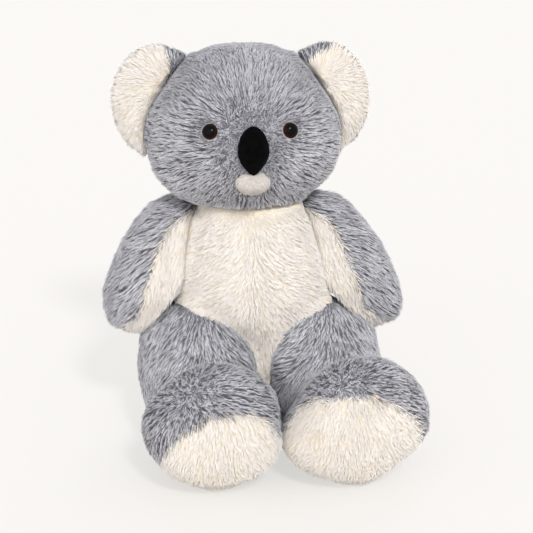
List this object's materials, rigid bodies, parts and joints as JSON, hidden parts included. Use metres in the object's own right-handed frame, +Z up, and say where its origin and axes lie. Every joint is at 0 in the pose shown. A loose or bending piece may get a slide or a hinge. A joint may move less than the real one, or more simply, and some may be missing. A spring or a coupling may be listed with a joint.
{
  "type": "plush koala",
  "caption": "Seated soft toy koala of fur cloth over fibre stuffing, with big round ears, safety eyes, a stuffed velour nose, and head, ears, arms and legs that turn at their seams.",
  "frame": {"origin": "middle of the seated toy's box, on the surface that it sits on", "axes": "+Z up, the toy looks along -Y, and +X is the toy's own left"},
  "size_m": [0.3074, 0.2788, 0.403],
  "materials": {
    "grey_fur_cloth": "matt",
    "cream_fur_cloth": "matt",
    "fibre_stuffing": "matt",
    "black_velour": "matt",
    "cream_velour": "matt",
    "eye_plastic": "polished",
    "washer_plastic": "moulded"
  },
  "bodies": {
    "body": {"body_stuffing": "fibre_stuffing", "back_panel": "grey_fur_cloth", "belly_panel": "cream_fur_cloth"},
    "head": {"head_stuffing": "fibre_stuffing", "face_panel": "grey_fur_cloth", "head_back_panel": "grey_fur_cloth", "nose": "black_velour", "chin_patch": "cream_velour", "left_eye": "eye_plastic", "left_eye_washer": "washer_plastic", "right_eye": "eye_plastic", "right_eye_washer": "washer_plastic"},
    "left_ear": {"left_ear_stuffing": "fibre_stuffing", "left_ear_front": "cream_fur_cloth", "left_ear_back": "grey_fur_cloth"},
    "right_ear": {"right_ear_stuffing": "fibre_stuffing", "right_ear_front": "cream_fur_cloth", "right_ear_back": "grey_fur_cloth"},
    "left_arm": {"left_arm_stuffing": "fibre_stuffing", "left_arm_inner_panel": "cream_fur_cloth", "left_arm_outer_panel": "grey_fur_cloth"},
    "right_arm": {"right_arm_stuffing": "fibre_stuffing", "right_arm_inner_panel": "cream_fur_cloth", "right_arm_outer_panel": "grey_fur_cloth"},
    "left_leg": {"left_leg_stuffing": "fibre_stuffing", "left_leg_panel": "grey_fur_cloth", "left_sole": "cream_fur_cloth"},
    "right_leg": {"right_leg_stuffing": "fibre_stuffing", "right_leg_panel": "grey_fur_cloth", "right_sole": "cream_fur_cloth"}
  },
  "joints": [
    {"name": "head_turn", "type": "hinge", "parent": "body", "child": "head", "pos_m": [-0.00592, 0.06112, 0.246], "axis": [0, 0, 1], "range_deg": [-30, 30]},
    {"name": "left_ear_fold", "type": "hinge", "parent": "head", "child": "left_ear", "pos_m": [0.06708, 0.07312, 0.347], "axis": [-0.3746, 0, 0.9272], "range_deg": [-15, 15]},
    {"name": "right_ear_fold", "type": "hinge", "parent": "head", "child": "right_ear", "pos_m": [-0.07892, 0.07312, 0.347], "axis": [0.3746, 0, 0.9272], "range_deg": [-15, 15]},
    {"name": "left_shoulder", "type": "hinge", "parent": "body", "child": "left_arm", "pos_m": [0.06258, 0.06212, 0.206], "axis": [-0.9659, 0, -0.2588], "range_deg": [-15, 90]},
    {"name": "right_shoulder", "type": "hinge", "parent": "body", "child": "right_arm", "pos_m": [-0.06542, 0.06212, 0.206], "axis": [-0.9659, 0, 0.2588], "range_deg": [-15, 90]},
    {"name": "left_hip", "type": "hinge", "parent": "body", "child": "left_leg", "pos_m": [0.06008, 0.03812, 0.0725], "axis": [-0.9744, -0.225, 0], "range_deg": [-35, 4]},
    {"name": "right_hip", "type": "hinge", "parent": "body", "child": "right_leg", "pos_m": [-0.06292, 0.03812, 0.0725], "axis": [-0.9954, -0.0958, 0], "range_deg": [-35, 4]}
  ]
}
